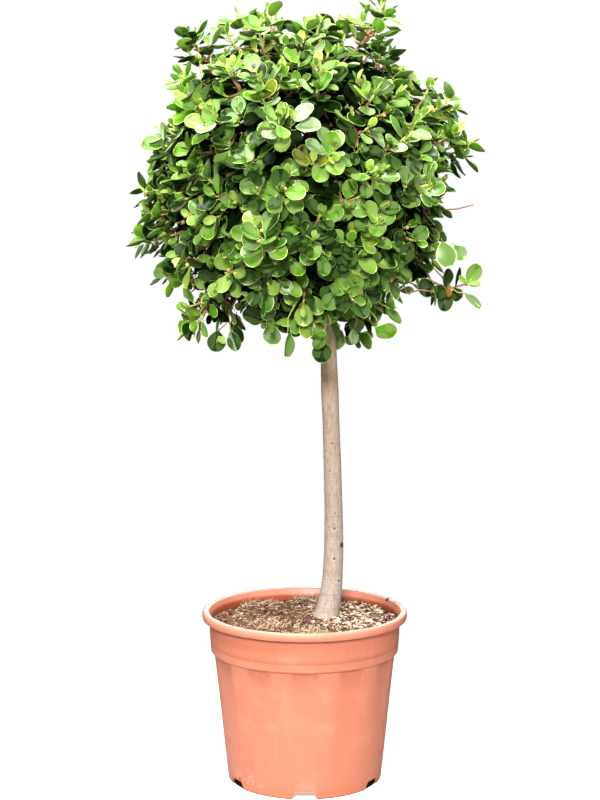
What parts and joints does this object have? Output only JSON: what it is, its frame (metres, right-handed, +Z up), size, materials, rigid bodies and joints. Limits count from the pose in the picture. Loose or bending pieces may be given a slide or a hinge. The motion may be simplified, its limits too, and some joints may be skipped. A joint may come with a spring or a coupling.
{
  "type": "potted ficus standard",
  "caption": "Small-leaved ficus grown as a lollipop standard: a clipped ball of round leaves on a bare pale trunk, in a fluted terracotta-coloured nursery pot.",
  "frame": {"origin": "centre of the pot's flat underside, on the floor", "axes": "+Z up along the pot's axis, -Y towards the plant's front"},
  "size_m": [0.5107, 0.4849, 1.1265],
  "materials": {
    "terracotta_plastic": "satin injection-moulded plastic with faint scuffs and mineral specks",
    "potting_mix": "dry shredded bark and peat",
    "bark": "smooth pale bark with leaf-scar rings and small lenticels",
    "leaf": "leathery leaves with a soft waxy sheen and pale margins"
  },
  "bodies": {
    "root": {"pot": "terracotta_plastic", "potting_soil": "potting_mix", "trunk": "bark", "bough_top": "bark", "bough_upper_right": "bark", "bough_upper_back": "bark", "bough_upper_left": "bark", "bough_upper_front_left": "bark", "bough_upper_front_right": "bark", "bough_lower_back_right": "bark", "bough_lower_back_left": "bark", "bough_lower_left": "bark", "bough_lower_front": "bark", "bough_lower_right": "bark", "foliage_top": "leaf", "foliage_upper_right": "leaf", "foliage_upper_back": "leaf", "foliage_upper_left": "leaf", "foliage_upper_front_left": "leaf", "foliage_upper_front_right": "leaf", "foliage_lower_back_right": "leaf", "foliage_lower_back_left": "leaf", "foliage_lower_left": "leaf", "foliage_lower_front": "leaf", "foliage_lower_right": "leaf"}
  },
  "joints": []
}
